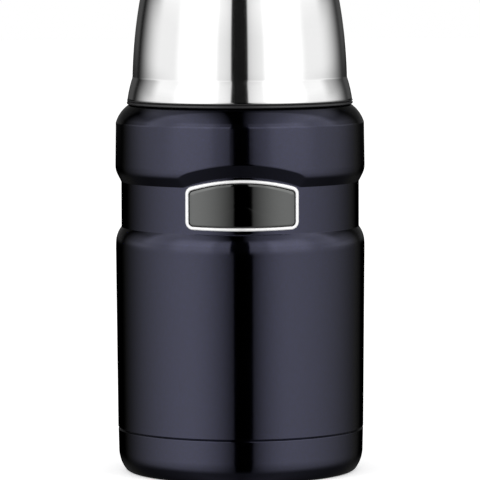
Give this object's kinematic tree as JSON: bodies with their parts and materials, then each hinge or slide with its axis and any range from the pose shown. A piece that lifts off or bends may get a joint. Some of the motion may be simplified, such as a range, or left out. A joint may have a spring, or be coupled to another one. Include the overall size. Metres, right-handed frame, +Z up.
{
  "type": "insulated food jar",
  "caption": "Wide-mouth vacuum insulated food jar with a screw-on serving-bowl lid over a screw-in stopper, a recessed band with a bare nameplate and a welded base cup.",
  "frame": {"origin": "centre of the foot ring, on the surface the jar stands on", "axes": "+Z up along the jar's axis, towards the lid; the nameplate faces -Y"},
  "size_m": [0.1049, 0.1048, 0.2049],
  "materials": {
    "body_paint": "gloss midnight blue metallic enamel with clear coat",
    "lid_steel": "polished stainless steel with a fine turned grain",
    "bare_steel": "satin stainless steel",
    "black_plastic": "moulded black polypropylene, fine satin",
    "silicone": "grey translucent silicone",
    "foam": "closed-cell polystyrene foam",
    "foil": "bright rolled foil",
    "getter": "pressed porous metal pellet",
    "solder": "dark sealing glass bead",
    "tape": "black foam tape",
    "badge_field": "dark grey satin plate, bare",
    "badge_chrome": "polished raised border"
  },
  "bodies": {
    "jar": {"outer_shell": "body_paint", "base_cup": "body_paint", "evacuation_seal": "solder", "seal_cover": "bare_steel", "inner_vessel": "bare_steel", "inner_bottom": "bare_steel", "wall_foil": "foil", "bottom_foil": "foil", "getter_pellet": "getter", "getter_clip": "bare_steel", "badge_adhesive": "tape", "badge_plate": "badge_field", "badge_frame": "badge_chrome"},
    "stopper_core": {"stopper_foam": "foam"},
    "stopper": {"stopper_plug": "black_plastic", "stopper_cap": "black_plastic", "stopper_gasket": "silicone"},
    "lid_core": {"lid_foam": "foam"},
    "lid": {"lid_shell": "lid_steel", "lid_liner": "black_plastic"}
  },
  "joints": [
    {"name": "stopper_rise", "type": "slide", "parent": "jar", "child": "stopper_core", "axis": [0, 0, 1], "range_m": [0, 0.0481]},
    {"name": "stopper_turn", "type": "hinge", "parent": "stopper_core", "child": "stopper", "pos_m": [0, 0, 0.16], "axis": [0, 0, 1], "range_deg": [0, 1080]},
    {"name": "lid_rise", "type": "slide", "parent": "stopper", "child": "lid_core", "axis": [0, 0, 1], "range_m": [0, 0.0481]},
    {"name": "lid_turn", "type": "hinge", "parent": "lid_core", "child": "lid", "pos_m": [0, 0, 0.16], "axis": [0, 0, 1], "range_deg": [0, 1080]}
  ],
  "couplings": [
    {"joint": "stopper_rise", "follows": "stopper_turn", "m_per_rad": 0.0025465},
    {"joint": "lid_rise", "follows": "lid_turn", "m_per_rad": 0.0025465}
  ]
}
